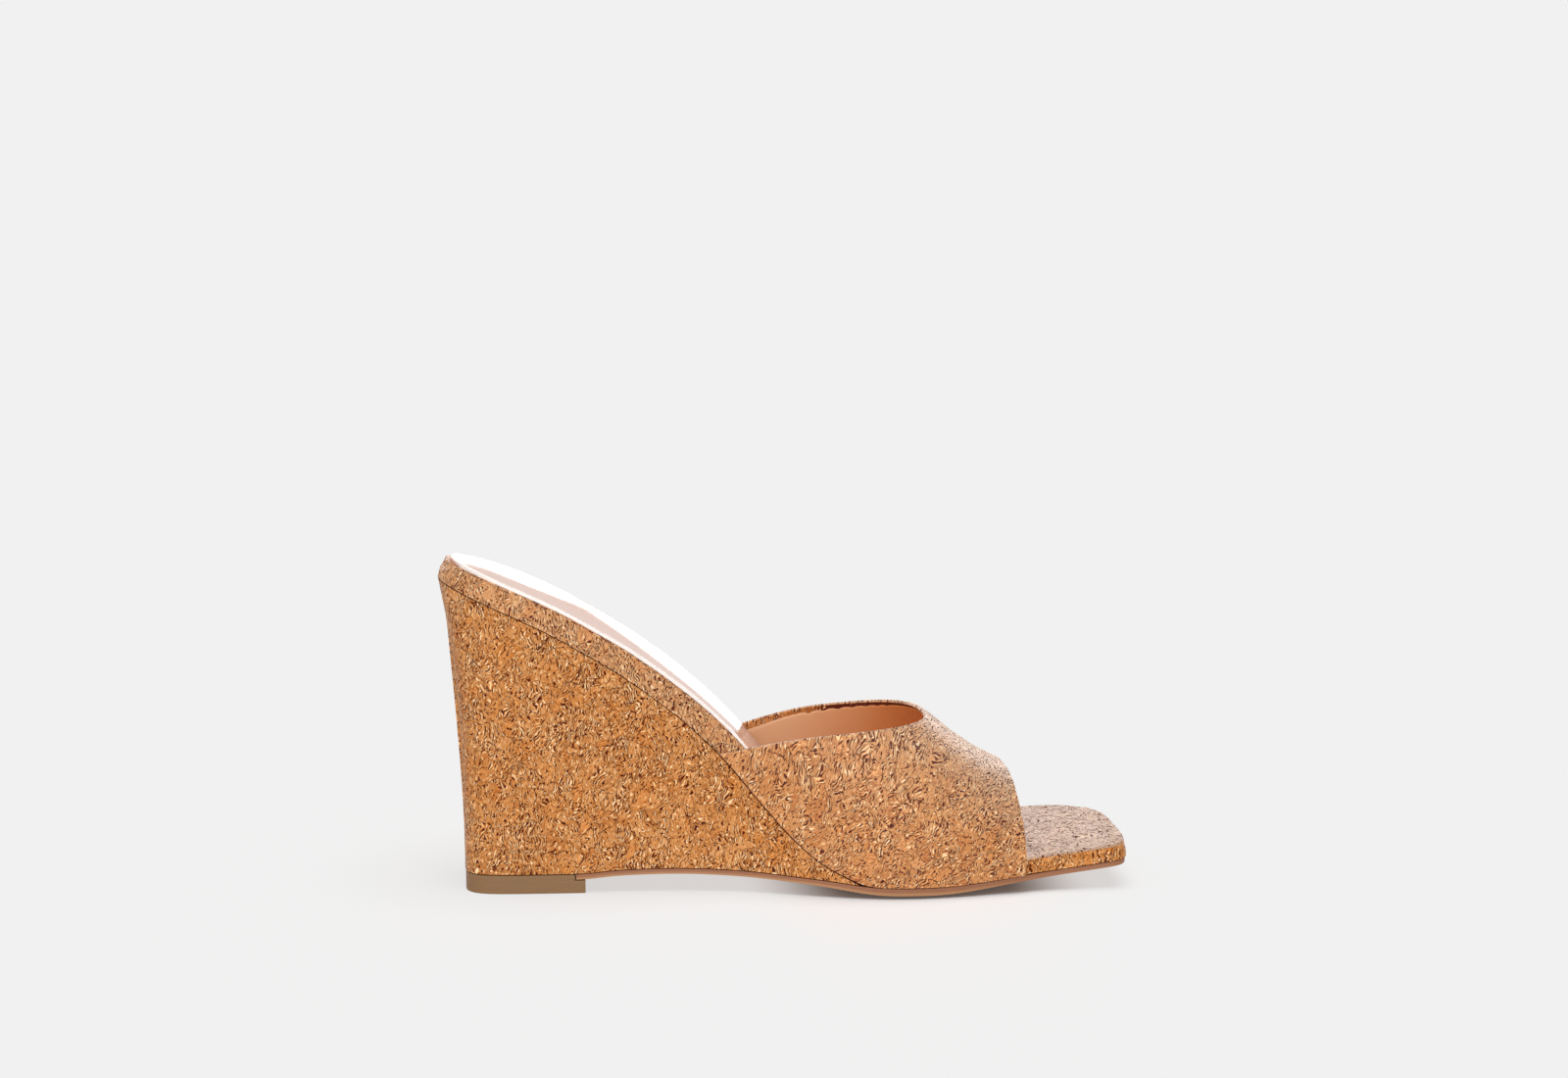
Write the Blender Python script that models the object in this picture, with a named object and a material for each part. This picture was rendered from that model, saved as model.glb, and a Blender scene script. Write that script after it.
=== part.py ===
"""Cork wedge sandal for the left foot: a slip-on with a square open toe and a full wedge heel.

Sizes are in millimetres and become metres where a mesh is made.  X runs from heel to toe,
-Y is the inner (medial) side of the foot, +Z is up and the floor is z = 0.
"""
import math

import bmesh
import bpy
import numpy as np

MM = 0.001

# Sizes of the last
LENGTH = 220.0          # heel back to toe front of the footbed, along the floor
BALL_WIDTH = 79.0       # sole across the ball of the foot
HEEL_HEIGHT = 100.0     # floor to the underside of the footbed at the heel back
INSTEP_HEIGHT = 54.0    # floor to the top of the vamp at its throat

# Walls and clearances
GAP = 0.3               # between pieces that lie on each other
SIDE_GAP = 0.35         # between the footbed's edge and the vamp
WALL = 1.4              # vamp with its lining
PROUD = 0.5             # vamp beyond the edge of the wedge
SOCK = 0.9              # insole
NECK = WALL - PROUD + SIDE_GAP      # footbed set in where the vamp wraps it

# Plan of the shoe: half breadths from the middle line, as parts of BALL_WIDTH
PLAN_COLUMNS = ("along", "medial", "lateral")
PLAN = (
    (0.000, 0.306, 0.310),
    (0.114, 0.310, 0.314),
    (0.205, 0.315, 0.322),
    (0.296, 0.306, 0.322),
    (0.364, 0.303, 0.322),
    (0.433, 0.320, 0.348),
    (0.501, 0.370, 0.390),
    (0.569, 0.425, 0.448),
    (0.638, 0.466, 0.501),
    (0.683, 0.473, 0.524),
    (0.752, 0.453, 0.538),
    (0.820, 0.420, 0.532),
    (0.888, 0.403, 0.512),
    (1.000, 0.403, 0.490),
)

# Side of the shoe: height of the underside, gauge of the outsole, gauge of the footbed and
# depth of its hollow in millimetres, and height of the wedge as a part of HEEL_HEIGHT
SIDE_COLUMNS = ("along", "under", "sole", "board", "hollow", "wedge")
SIDE = (
    (0.000, 4.4, 1.6, 6.2, 1.0, 0.936),
    (0.068, 4.4, 1.6, 7.0, 1.0, 0.873),
    (0.159, 4.4, 1.6, 7.3, 1.0, 0.780),
    (0.210, 4.5, 1.6, 7.3, 1.0, 0.714),
    (0.251, 5.4, 1.6, 7.3, 1.0, 0.651),
    (0.342, 5.9, 1.6, 7.3, 0.9, 0.496),
    (0.410, 5.5, 1.6, 7.3, 0.8, 0.356),
    (0.456, 5.0, 1.7, 7.1, 0.7, 0.236),
    (0.501, 4.0, 2.0, 6.9, 0.6, 0.131),
    (0.547, 2.7, 2.6, 6.5, 0.5, 0.050),
    (0.583, 1.4, 3.0, 6.1, 0.4, 0.018),
    (0.612, 0.5, 3.2, 5.8, 0.3, 0.000),
    (0.647, 0.0, 3.3, 5.6, 0.3, 0.000),
    (0.720, 0.0, 3.3, 5.4, 0.2, 0.000),
    (0.779, 1.1, 3.0, 5.2, 0.1, 0.000),
    (0.847, 2.9, 2.6, 5.1, 0.0, 0.000),
    (0.925, 5.0, 2.6, 5.1, 0.0, 0.000),
    (1.000, 7.3, 2.6, 5.1, 0.0, 0.000),
)

# Upper edge of the last and cut of the vamp's topline, as parts of INSTEP_HEIGHT
INSTEP_COLUMNS = ("along", "ridge")
INSTEP = (
    (0.365, 1.870),
    (0.456, 1.667),
    (0.524, 1.491),
    (0.592, 1.324),
    (0.661, 1.148),
    (0.711, 1.000),
    (0.734, 0.930),
    (0.752, 0.866),
    (0.775, 0.799),
    (0.797, 0.739),
    (0.820, 0.689),
    (0.847, 0.633),
)
TOPLINE_COLUMNS = ("along", "medial", "lateral")
TOPLINE = (
    (0.365, 0.825, 0.755),
    (0.401, 0.835, 0.775),
    (0.438, 0.866, 0.810),
    (0.490, 0.910, 0.870),
    (0.547, 0.945, 0.920),
    (0.652, 0.982, 0.967),
    (0.716, 1.000, 1.000),
    (0.790, 1.035, 1.035),
)

# Edge of the sole and of the wedge's foot, set in from the plan, in millimetres
INSET_COLUMNS = ("along", "inset")
INSET = (
    (0.000, 4.4),
    (0.210, 4.3),
    (0.300, 3.3),
    (0.360, 2.2),
    (0.428, 1.2),
    (0.483, 0.6),
    (0.540, 0.2),
    (0.775, 0.2),
    (0.843, 0.7),
    (0.890, 1.5),
    (1.000, 1.6),
)

# Round ends of the plan: how far each reaches back, and how square it is
HEEL_REACH = 26.0
HEEL_POWER = 2.2
HEEL_FOOT_POWER = 5.0   # of the heel where it stands on the floor
TOE_REACH = {"medial": 9.0, "lateral": 33.0}
TOE_POWER = {"medial": 5.0, "lateral": 2.6}
HEEL_TURNS = (6, 13, 21, 31, 43, 57, 73, 90)
TOE_TURNS = (90, 76, 63, 52, 43, 35, 28, 22, 17, 12, 8, 4)

# Footbed and insole
EDGE_RADIUS = 1.6
EDGE_BULGE = 2.4        # power of the round from the foot of the footbed's edge to its top
EDGE_LEVELS = (0.30, 0.60, 0.82)
SOCK_MARGIN = 2.0
SOCK_RADIUS = 0.5
SOCK_END = 172.0
SOCK_END_REACH = 16.0
SOCK_END_POWER = 2.6
NECK_FROM = 78.0
NECK_TO = 88.0

# Wedge and heel lift
WEDGE_FRONT = 131.5
WEDGE_TAPER = 7.6       # heel back at the floor, forward of the heel back at the footbed
WEDGE_FLARE = 2.9       # power of the hollow curve up the wedge's sides
WEDGE_LEVELS = 8
LIFT_FRONT = 46.0
LIFT_HEIGHT = 6.0
LIFT_OVERLAP = 3.0      # outsole lying over the front of the lift

# Outsole
SOLE_RISE = 1.0         # edge of the forefoot above its flat middle
SOLE_FLAT = 0.45        # flat middle, as a part of the half breadth
RISE_FROM = 96.0
RISE_TO = 130.0

# Vamp
VAMP_FRONT = 185.6      # front edge at the sole
VAMP_LEAN = 2.6         # front edge at the ridge, behind the edge at the sole
VAMP_BOW = 2.0          # power of the lean, which bows the front edge forward at its sides
ARCH_POWER = 2.4        # squareness of the arch over the foot
RIDGE_MEDIAL = 4.0      # ridge of the instep, towards the inner side
VAMP_ACROSS = 44
VAMP_ALONG = 26

# Fineness of the faceted solids
MIDDLE_STEP = 5.5       # between stations along the middle of the shoe
CLOSEST = 1.4           # nearest that one of those comes to a piece's own end stations
ROW_POINTS = 9
ARC_TURNS = (0, 45, 90)
SHARP_ANGLE = math.radians(38)
PROFILE_SAMPLES = 600
HALVINGS = 40           # of the span in which the topline is looked for

# Colour and roughness of each piece
FINISHES = {
    "footbed": ((0.56, 0.28, 0.11), 0.55),
    "insole_sock": ((0.80, 0.62, 0.54), 0.30),
    "wedge_heel": ((0.56, 0.27, 0.10), 0.60),
    "heel_top_lift": ((0.30, 0.17, 0.09), 0.60),
    "outsole": ((0.40, 0.20, 0.14), 0.55),
    "upper_vamp": ((0.58, 0.30, 0.12), 0.55),
}


def smooth_curve(table, columns, name):
    """Monotone smooth curve through one column of a table, over the shoe's length."""
    rows = np.array(table)
    places = rows[:, 0] * LENGTH
    values = rows[:, columns.index(name)]
    step = np.diff(places)
    rise = np.diff(values) / step
    slope = np.zeros(len(values))
    slope[0] = rise[0]
    slope[-1] = rise[-1]
    for i in range(1, len(values) - 1):
        if rise[i - 1] * rise[i] > 0:
            slope[i] = 2 * rise[i - 1] * rise[i] / (rise[i - 1] + rise[i])

    def at(s):
        s = np.clip(s, places[0], places[-1])
        i = np.clip(np.searchsorted(places, s, side="right") - 1, 0, len(step) - 1)
        t = (s - places[i]) / step[i]
        start = values[i] * (1 + 2 * t) * (1 - t) ** 2 + slope[i] * step[i] * t * (1 - t) ** 2
        finish = values[i + 1] * t * t * (3 - 2 * t) + slope[i + 1] * step[i] * t * t * (t - 1)
        return start + finish

    return at


def ramp(s, start, end):
    """Smooth rise from 0 at start to 1 at end."""
    t = np.clip((s - start) / (end - start), 0, 1)
    return t * t * (3 - 2 * t)


breadth = {side: smooth_curve(PLAN, PLAN_COLUMNS, side) for side in ("medial", "lateral")}
under, gauge, board, hollow, wedge = (
    smooth_curve(SIDE, SIDE_COLUMNS, name) for name in SIDE_COLUMNS[1:])
ridge = smooth_curve(INSTEP, INSTEP_COLUMNS, "ridge")
topline = {side: smooth_curve(TOPLINE, TOPLINE_COLUMNS, side) for side in ("medial", "lateral")}
inset = smooth_curve(INSET, INSET_COLUMNS, "inset")


def sole_top(s):
    """Height of the outsole's upper face."""
    return under(s) + gauge(s)


def seam(s):
    """Height of the footbed's underside, where it meets the wedge or the outsole."""
    return sole_top(s) + GAP + wedge(s) * HEEL_HEIGHT


def footbed_profile():
    """Upper edge of the footbed: its underside moved out along the normal by the board's gauge."""
    s = np.linspace(0, LENGTH, PROFILE_SAMPLES)
    slope = np.gradient(seam(s), s)
    stretch = np.sqrt(1 + slope ** 2)
    return s - slope * board(s) / stretch, seam(s) + board(s) / stretch


BED_PLACES, BED_HEIGHTS = footbed_profile()
BED_HEEL = float(BED_PLACES[0])
BED_TOE = float(BED_PLACES[-1])
MIDDLE = np.arange(HEEL_REACH, LENGTH, MIDDLE_STEP)


def bed(s, part):
    """Height of the footbed's upper face at a part of its half breadth, hollowed to the foot."""
    depth = hollow(s) * ramp(s, BED_HEEL, BED_HEEL + HEEL_REACH)
    return np.interp(s, BED_PLACES, BED_HEIGHTS) - depth * (1 - np.minimum(np.abs(part), 1) ** 2)


def end_round(distance, reach, power):
    """Part of the full breadth that is left at a distance from a rounded end."""
    depth = np.clip(1 - distance / reach, 0, 1)
    return (1 - depth ** power) ** (1 / power)


def half(side, s, grow, heel, toe, heel_power=HEEL_POWER):
    """Half breadth of an outline that stands off the plan by grow, between its heel and toe."""
    full = breadth[side](s) * BALL_WIDTH + grow
    round_toe = end_round(toe - s, TOE_REACH[side], TOE_POWER[side])
    return full * end_round(s - heel, HEEL_REACH, heel_power) * round_toe


def halves(s, grow, heel, toe, heel_power=HEEL_POWER):
    """Medial and lateral half breadths together."""
    return [half(side, s, grow, heel, toe, heel_power) for side in ("medial", "lateral")]


def heel_stations(heel):
    """Stations around a round heel, closer together towards its back."""
    return [heel + HEEL_REACH * (1 - math.cos(math.radians(turn))) for turn in HEEL_TURNS]


def toe_stations(toe):
    """Stations around the square toe, closer together towards its front."""
    reach = TOE_REACH["lateral"]
    return [toe - reach * (1 - math.cos(math.radians(turn))) for turn in TOE_TURNS]


def between(start, end):
    """Stations after start and before end, from one even run that all pieces share."""
    return [s for s in MIDDLE if start + CLOSEST < s < end - CLOSEST]


def bed_station(s):
    """Station on the footbed's upper face that belongs to a station on its underside."""
    return BED_HEEL + s * (BED_TOE - BED_HEEL) / LENGTH


def across(medial, lateral, count):
    """Places from the medial edge to the lateral edge, with each one's part of its half."""
    parts = np.linspace(-1, 1, count)
    return [(part * (medial if part < 0 else lateral), part) for part in parts]


def edge_arc(radius):
    """Rounded upper edge as pairs of set-in and drop, from the side to the top."""
    turns = [math.radians(turn) for turn in ARC_TURNS]
    return [(radius * (1 - math.cos(turn)), radius * (1 - math.sin(turn))) for turn in turns]


def finish_of(name):
    """Material of one piece."""
    colour, roughness = FINISHES[name]
    material = bpy.data.materials.new(name + "_finish")
    material.use_nodes = True
    shader = material.node_tree.nodes["Principled BSDF"]
    shader.inputs["Base Color"].default_value = (*colour, 1)
    shader.inputs["Roughness"].default_value = roughness
    shader.inputs["Metallic"].default_value = 0.0
    return material


def piece(name, points, faces):
    """Object of one sub-part from points in millimetres."""
    mesh = bpy.data.meshes.new(name)
    mesh.from_pydata([[float(value) * MM for value in point] for point in points], [], faces)
    mesh.materials.append(finish_of(name))
    mesh.shade_smooth()
    thing = bpy.data.objects.new(name, mesh)
    bpy.context.collection.objects.link(thing)
    return thing


def loft(name, rings):
    """Closed solid through rings of equal point counts, capped at both ends."""
    count = len(rings[0])
    points = [point for ring in rings for point in ring]
    faces = [tuple(range(count)), tuple(reversed(range(len(points) - count, len(points))))]
    for i in range(len(rings) - 1):
        for j in range(count):
            k = (j + 1) % count
            faces.append((i * count + j, (i + 1) * count + j, (i + 1) * count + k, i * count + k))
    thing = piece(name, points, faces)
    shape = bmesh.new()
    shape.from_mesh(thing.data)
    bmesh.ops.recalc_face_normals(shape, faces=shape.faces)
    shape.to_mesh(thing.data)
    shape.free()
    thing.data.set_sharp_from_angle(angle=SHARP_ANGLE)
    return thing


def footbed_grow(s):
    """Footbed outline against the plan: flush behind the vamp, set in under it."""
    return -NECK * ramp(s, NECK_FROM, NECK_TO)


def make_footbed():
    """Cork-covered board that the foot stands on, from the heel to the open toe."""
    low = heel_stations(0) + between(HEEL_REACH, LENGTH - TOE_REACH["lateral"]) + toe_stations(LENGTH)
    rings = []
    for s in low:
        t = bed_station(s)
        medial, lateral = halves(s, footbed_grow(s), 0, LENGTH)
        medial_top, lateral_top = halves(t, footbed_grow(t), BED_HEEL, BED_TOE)
        ring = [(s, y, seam(s)) for y, part in across(medial, lateral, ROW_POINTS)]
        arc = edge_arc(EDGE_RADIUS)
        edge = bed(t, 1)
        wall = []
        for level in EDGE_LEVELS:
            lean = level ** EDGE_BULGE
            height = seam(s) + (edge - EDGE_RADIUS - seam(s)) * level
            wall.append((s + (t - s) * lean, height, lean))
        ring += [(place, lateral + (lateral_top - lateral) * lean, height) for place, height, lean in wall]
        ring += [(t, lateral_top - set_in, edge - drop) for set_in, drop in arc[:-1]]
        row = across(medial_top - EDGE_RADIUS, lateral_top - EDGE_RADIUS, ROW_POINTS)
        ring += [(t, y, bed(t, part)) for y, part in reversed(row)]
        ring += [(t, set_in - medial_top, edge - drop) for set_in, drop in reversed(arc[:-1])]
        wall.reverse()
        ring += [(place, (medial - medial_top) * lean - medial, height) for place, height, lean in wall]
        rings.append(ring)
    return loft("footbed", rings)


def insole_seat(s, y):
    """Height of the insole's underside over the footbed."""
    side = "medial" if y < 0 else "lateral"
    board_half = half(side, s, footbed_grow(s) - EDGE_RADIUS, BED_HEEL, BED_TOE)
    return bed(s, y / board_half) + GAP


def make_insole():
    """Thin leather insole from the heel to under the vamp."""
    heel = BED_HEEL + SOCK_MARGIN
    end_turns = [math.radians(turn) for turn in TOE_TURNS]
    stations = heel_stations(heel)
    stations += [bed_station(s) for s in between(heel + HEEL_REACH, SOCK_END - SOCK_END_REACH)]
    stations += [SOCK_END - SOCK_END_REACH * (1 - math.cos(turn)) for turn in end_turns]
    rings = []
    for s in stations:
        medial, lateral = halves(s, footbed_grow(s) - SOCK_MARGIN, heel, BED_TOE)
        end = end_round(SOCK_END - s, SOCK_END_REACH, SOCK_END_POWER)
        medial *= end
        lateral *= end
        ring = [(s, y, insole_seat(s, y)) for y, part in across(medial, lateral, ROW_POINTS)]
        arc = edge_arc(SOCK_RADIUS)
        edge = insole_seat(s, lateral) + SOCK
        ring += [(s, lateral - set_in, edge - drop) for set_in, drop in arc[:-1]]
        row = across(medial - SOCK_RADIUS, lateral - SOCK_RADIUS, ROW_POINTS)
        ring += [(s, y, insole_seat(s, y) + SOCK) for y, part in reversed(row)]
        edge = insole_seat(s, -medial) + SOCK
        ring += [(s, set_in - medial, edge - drop) for set_in, drop in reversed(arc[:-1])]
        rings.append(ring)
    return loft("insole_sock", rings)


def make_wedge():
    """Cork wedge from under the heel to a thin front edge behind the ball."""
    high = heel_stations(0) + between(HEEL_REACH, WEDGE_FRONT) + [WEDGE_FRONT]
    levels = np.linspace(0, 1, WEDGE_LEVELS)
    rings = []
    for t in high:
        s = WEDGE_TAPER + t * (1 - WEDGE_TAPER / WEDGE_FRONT)
        foot = halves(s, -inset(s), WEDGE_TAPER, LENGTH, HEEL_FOOT_POWER)
        head = halves(t, 0, 0, LENGTH)
        low_height = sole_top(s) + GAP
        high_height = seam(t) - GAP
        walls = []
        for level in levels:
            flare = level ** WEDGE_FLARE
            place = s + (t - s) * flare
            height = low_height + (high_height - low_height) * level
            walls.append([place, height] + [a + (b - a) * flare for a, b in zip(foot, head)])
        ring = [(place, lateral, height) for place, height, medial, lateral in walls]
        ring += [(place, -medial, height) for place, height, medial, lateral in reversed(walls)]
        rings.append(ring)
    return loft("wedge_heel", rings)


def make_lift():
    """Top lift under the heel, let in at its front for the end of the outsole."""
    stations = heel_stations(WEDGE_TAPER) + between(WEDGE_TAPER + HEEL_REACH, LIFT_FRONT) + [LIFT_FRONT]
    rings = []
    for s in stations:
        medial, lateral = halves(s, -inset(s), WEDGE_TAPER, LENGTH, HEEL_FOOT_POWER)
        ring = [(s, -medial, 0), (s, lateral, 0), (s, lateral, LIFT_HEIGHT), (s, -medial, LIFT_HEIGHT)]
        rings.append(ring)
    lift = loft("heel_top_lift", rings)
    step_back = LIFT_FRONT - LIFT_OVERLAP - GAP
    step_height = float(under(LIFT_FRONT - LIFT_OVERLAP)) - GAP
    step_length = 2 * LIFT_OVERLAP
    bpy.ops.mesh.primitive_cube_add(size=1)
    cutter = bpy.context.object
    cutter.name = "lift_step_cutter"
    cutter.scale = (step_length * MM, BALL_WIDTH * MM, LIFT_HEIGHT * MM)
    cutter.location = ((step_back + step_length / 2) * MM, 0, (step_height + LIFT_HEIGHT / 2) * MM)
    cutter.hide_render = True
    cutter.display_type = "WIRE"
    cut = lift.modifiers.new("outsole_step", "BOOLEAN")
    cut.object = cutter
    cut.operation = "DIFFERENCE"
    cut.solver = "EXACT"
    return lift, cutter


def make_outsole():
    """Thin outsole from the front of the heel lift to the toe, flat under the ball."""
    start = LIFT_FRONT - LIFT_OVERLAP
    toe = LENGTH - inset(LENGTH) + NECK
    stations = [start] + between(start, toe - TOE_REACH["lateral"]) + toe_stations(toe)
    rings = []
    for s in stations:
        medial, lateral = halves(s, -inset(s), WEDGE_TAPER, toe)
        rise = SOLE_RISE * ramp(s, RISE_FROM, RISE_TO)
        ring = []
        for y, part in across(medial, lateral, ROW_POINTS):
            beyond = max(0, (abs(part) - SOLE_FLAT) / (1 - SOLE_FLAT))
            ring.append((s, y, under(s) + rise * beyond ** 2))
        ring += [(s, lateral, sole_top(s)), (s, -medial, sole_top(s))]
        rings.append(ring)
    return loft("outsole", rings)


def vamp_point(s, turn):
    """Outer face of the vamp at a station and a turn from -1, medial edge, to 1, lateral edge."""
    angle = turn * math.pi / 2
    out = abs(math.sin(angle)) ** (2 / ARCH_POWER)
    up = abs(math.cos(angle)) ** (2 / ARCH_POWER)
    side = "medial" if turn < 0 else "lateral"
    edge = math.copysign(breadth[side](s) * BALL_WIDTH + PROUD, turn)
    base = float(seam(s))
    y = edge * out - RIDGE_MEDIAL * (1 - out)
    return s, y, base + (float(ridge(s)) * INSTEP_HEIGHT - base) * up


def throat_station(turn):
    """Station where the vamp's face comes down to the topline."""
    cut = topline["medial" if turn < 0 else "lateral"]
    back, front = TOPLINE[0][0] * LENGTH, TOPLINE[-1][0] * LENGTH
    for _ in range(HALVINGS):
        middle = (back + front) / 2
        if vamp_point(middle, turn)[2] > cut(middle) * INSTEP_HEIGHT:
            back = middle
        else:
            front = middle
    return back


def make_vamp():
    """One-piece vamp: a hollow wall over the foot, open at throat, toe and underneath."""
    points = []
    for turn in np.linspace(-1, 1, VAMP_ACROSS + 1):
        rear = throat_station(turn)
        front = VAMP_FRONT - VAMP_LEAN * math.cos(turn * math.pi / 2) ** VAMP_BOW
        points += [vamp_point(s, turn) for s in np.linspace(rear, front, VAMP_ALONG + 1)]
    row = VAMP_ALONG + 1
    corners = [j * row + i for j in range(VAMP_ACROSS) for i in range(VAMP_ALONG)]
    faces = [(k, k + 1, k + row + 1, k + row) for k in corners]
    vamp = piece("upper_vamp", points, faces)
    wall = vamp.modifiers.new("wall", "SOLIDIFY")
    wall.thickness = WALL * MM
    wall.offset = -1
    wall.use_even_offset = True
    return vamp


def centre(things, followers):
    """Put the middle of the shoe's box on the Z axis, with the floor at z = 0."""
    corners = np.array([vertex.co for thing in things for vertex in thing.data.vertices])
    middle = (corners.min(axis=0) + corners.max(axis=0)) / 2
    for thing in things:
        for vertex in thing.data.vertices:
            vertex.co.x -= middle[0]
            vertex.co.y -= middle[1]
    for thing in followers:
        thing.location.x -= middle[0]
        thing.location.y -= middle[1]


for leftover in list(bpy.data.objects):
    bpy.data.objects.remove(leftover, do_unlink=True)
heel_lift, lift_cutter = make_lift()
shoe = [make_footbed(), make_insole(), make_wedge(), heel_lift, make_outsole(), make_vamp()]
centre(shoe, [lift_cutter])
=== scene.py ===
"""Looks of the cork wedge sandal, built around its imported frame.

Shapes are in metres and patterns in millimetres.  +X runs from heel to toe, -Y is the inner side of
the foot, +Z is up and the floor is z = 0.
"""

import math

import bmesh
import bpy
import numpy as np
from mathutils import Matrix, Quaternion, Vector
from mathutils.kdtree import KDTree


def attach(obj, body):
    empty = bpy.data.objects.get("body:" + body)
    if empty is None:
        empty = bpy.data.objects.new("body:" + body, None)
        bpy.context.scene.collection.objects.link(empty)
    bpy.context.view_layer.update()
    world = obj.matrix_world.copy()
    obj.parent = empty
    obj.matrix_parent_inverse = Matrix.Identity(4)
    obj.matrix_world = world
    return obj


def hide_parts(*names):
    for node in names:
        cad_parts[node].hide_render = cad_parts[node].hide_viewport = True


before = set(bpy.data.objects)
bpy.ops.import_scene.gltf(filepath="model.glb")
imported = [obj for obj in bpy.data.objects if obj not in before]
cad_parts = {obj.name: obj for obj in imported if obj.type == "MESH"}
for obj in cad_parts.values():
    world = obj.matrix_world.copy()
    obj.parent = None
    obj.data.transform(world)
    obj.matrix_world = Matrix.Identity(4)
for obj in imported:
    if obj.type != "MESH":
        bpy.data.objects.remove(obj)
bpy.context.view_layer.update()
shoe = bpy.data.collections.new("shoe")
gloss_pieces = bpy.data.collections.new("gloss_pieces")
studio = bpy.data.collections.new("studio")
for group in (shoe, gloss_pieces, studio):
    bpy.context.scene.collection.children.link(group)

MM = 0.001

# The picture: its size and lens in pixels, and where the shoe stands in it
PICTURE_WIDTH = 1600
PICTURE_HEIGHT = 1100
FOCAL_PIXELS = 2660.0
SENSOR_WIDTH = 36.0
CAMERA_AZIMUTH = -5.0
CAMERA_ELEVATION = 11.3
CAMERA_DISTANCE = 0.850
AIM_POINT = Vector((0.0010, -0.0025, 0.050))
AIM_ROW = 737.0

# Studio: brightness of the backdrop, of the light around and of the suns on floor and shoe, with their
# tilt and spread; the floor's size and fade in metres; and its own glow, which is low under the ball of
# the foot and grows behind and before it
BACKDROP = 0.879
AROUND = 0.28
FLOOR_ALBEDO = 0.80
FLOOR_LIGHT = 2.57
FLOOR_LIGHT_TILT = math.radians(-6)
TOP_LIGHT = 1.15
TOP_LIGHT_TILT = math.radians(-8)
SUN_SPREAD = math.radians(50)
FLOOR_RADIUS = 5.0
FLOOR_SIDES = 128
FLOOR_FADE = (0.45, 1.30)
GLOW_BALL = 0.06
GLOW_ARCH = 0.70
GLOW_TOE = 0.70
BALL_BACK = (0.020, -0.015)
BALL_FRONT = (0.070, 0.100)

# Soft boxes on the shoe: place and size in metres, and brightness
BACK_PANEL_PLACE = (0.25, 1.30, 0.525)
BACK_PANEL_SIZE = (2.6, 0.56)
BACK_PANEL_RADIANCE = 3.8
FRONT_BOX_PLACE = (-0.3, -1.5, 0.55)
FRONT_BOX_SIZE = (1.8, 1.1)
FRONT_BOX_RADIANCE = 2.5

# Strip close behind the shoe that shines in the insole's gloss along its waist
STRIP_PLACE = Vector((0.0340, 0.2, 0.0699))
STRIP_AIM = STRIP_PLACE - Vector((0, 1, 0))
STRIP_ROLL = math.radians(56.85)
STRIP_SIZE = (0.135, 0.060)
STRIP_RADIANCE = 3.0

# Merging of a CAD copy into quads, its smoothing levels, and the sharp angle, steps and widths of its
# rounded edges; the vamp's edge at the sole faces down, and the insole is swollen to close its gap
MERGE = 1e-6
QUAD_ANGLE = 0.9
QUAD_SHAPE = 1.5
SHARP_ANGLE = math.radians(50)
SMOOTH = 2
WEDGE_SMOOTH = 3
FOLD_STEPS = 3
LASTED_STEPS = 2
CORK_FOLD = 0.50 * MM
TOPLINE_FOLD = 0.55 * MM
LASTED_FOLD = 0.35 * MM
FACES_DOWN = -0.25
RUBBER_EDGE = 0.40 * MM
SOLE_EDGE = 0.30 * MM
INSOLE_SWELL = 0.20 * MM

# Name of the height on the outsole's edge, from 0 at its foot to 1 at its top, and the decimal places of
# a metre by which its rings of points are told apart
SOLE_GAUGE = "sole_gauge"
RING_PLACES = 5

# Lining: rows cut off its edge, bare cork fold left above it, how proud it lies, how deep its margin is
# sunk and over what step, its thickness, and the line inside the vamp that its faces look towards
LINING_TRIM = 1
FOLD_WIDTH = 1.1 * MM
LINING_PROUD = 0.22 * MM
LINING_SUNK = 0.60 * MM
LINING_STEP = 1.0 * MM
LINING_THICKNESS = 0.40 * MM
LINING_AXIS = Vector((0.0, -0.002, 0.015))
FACES_IN = -0.3

# Cork sheet: round of the heel and of the vamp that the pattern is wrapped on, in millimetres
HEEL_CENTRE = -84.0
HEEL_ROUND = 26.0
VAMP_ROUND = 40.0
VAMP_MIDDLE = (-4.0, 8.0)

# Footbed's sheet: facing of its top and toe front, and how the pattern is stretched across its top
TOP_FACING = 0.62
FRONT_FACING = 0.75
TOP_STRETCH = (0.50, 0.90)

# Cork pattern: sizes in millimetres, cells and waves by the millimetre, places on a scale from 0 to 1.
# Chips are pressed flat and turned, their grain drifts and ripples, and dark cracks and pale hairs run
# along it where the sheet is busy
CHIPS = 0.30
CHIP_SQUASH = (1.0, 0.62, 1.0)
CHIP_TURN = 0.9
DRIFT_WAVES = 0.17
DRIFT_REACH = 4.0
RIPPLE_WAVES = 0.45
RIPPLE_REACH = 1.2
BUSY_WAVES = 0.16
BUSY_PATCH = 0.20
BUSY_CHIP = 0.12
BUSY_DULL = 0.16
FIBRE_SIZE = (0.38, 1.3)
STROKE_SIZE = (0.60, 1.3)
CRACK_OFFSET = 31.0
CRACK_PITCH = 0.78
CRACK_WIDTH = 0.23
CRACK_PLACES = (0.555, 0.575)
PALE_OFFSET = 57.0
PALE_PITCH = 0.88
PALE_SHIFT = 0.35
PALE_WIDTH = 0.24
PALE_PLACES = (0.548, 0.575)
OFFSET_SLANT = 0.7
HAIR_CORE = 0.55
PIT_SIZE = (0.55, 0.8)
PIT_SHARE = 0.05
PIT_SOFT = 0.02
PIT_ROUND = (0.56, 0.34)
JOINT_WIDTH = (0.045, 0.010)
JOINT_PLACES = (0.44, 0.52)
RED_CHIPS = (0.55, 0.95)

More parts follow.
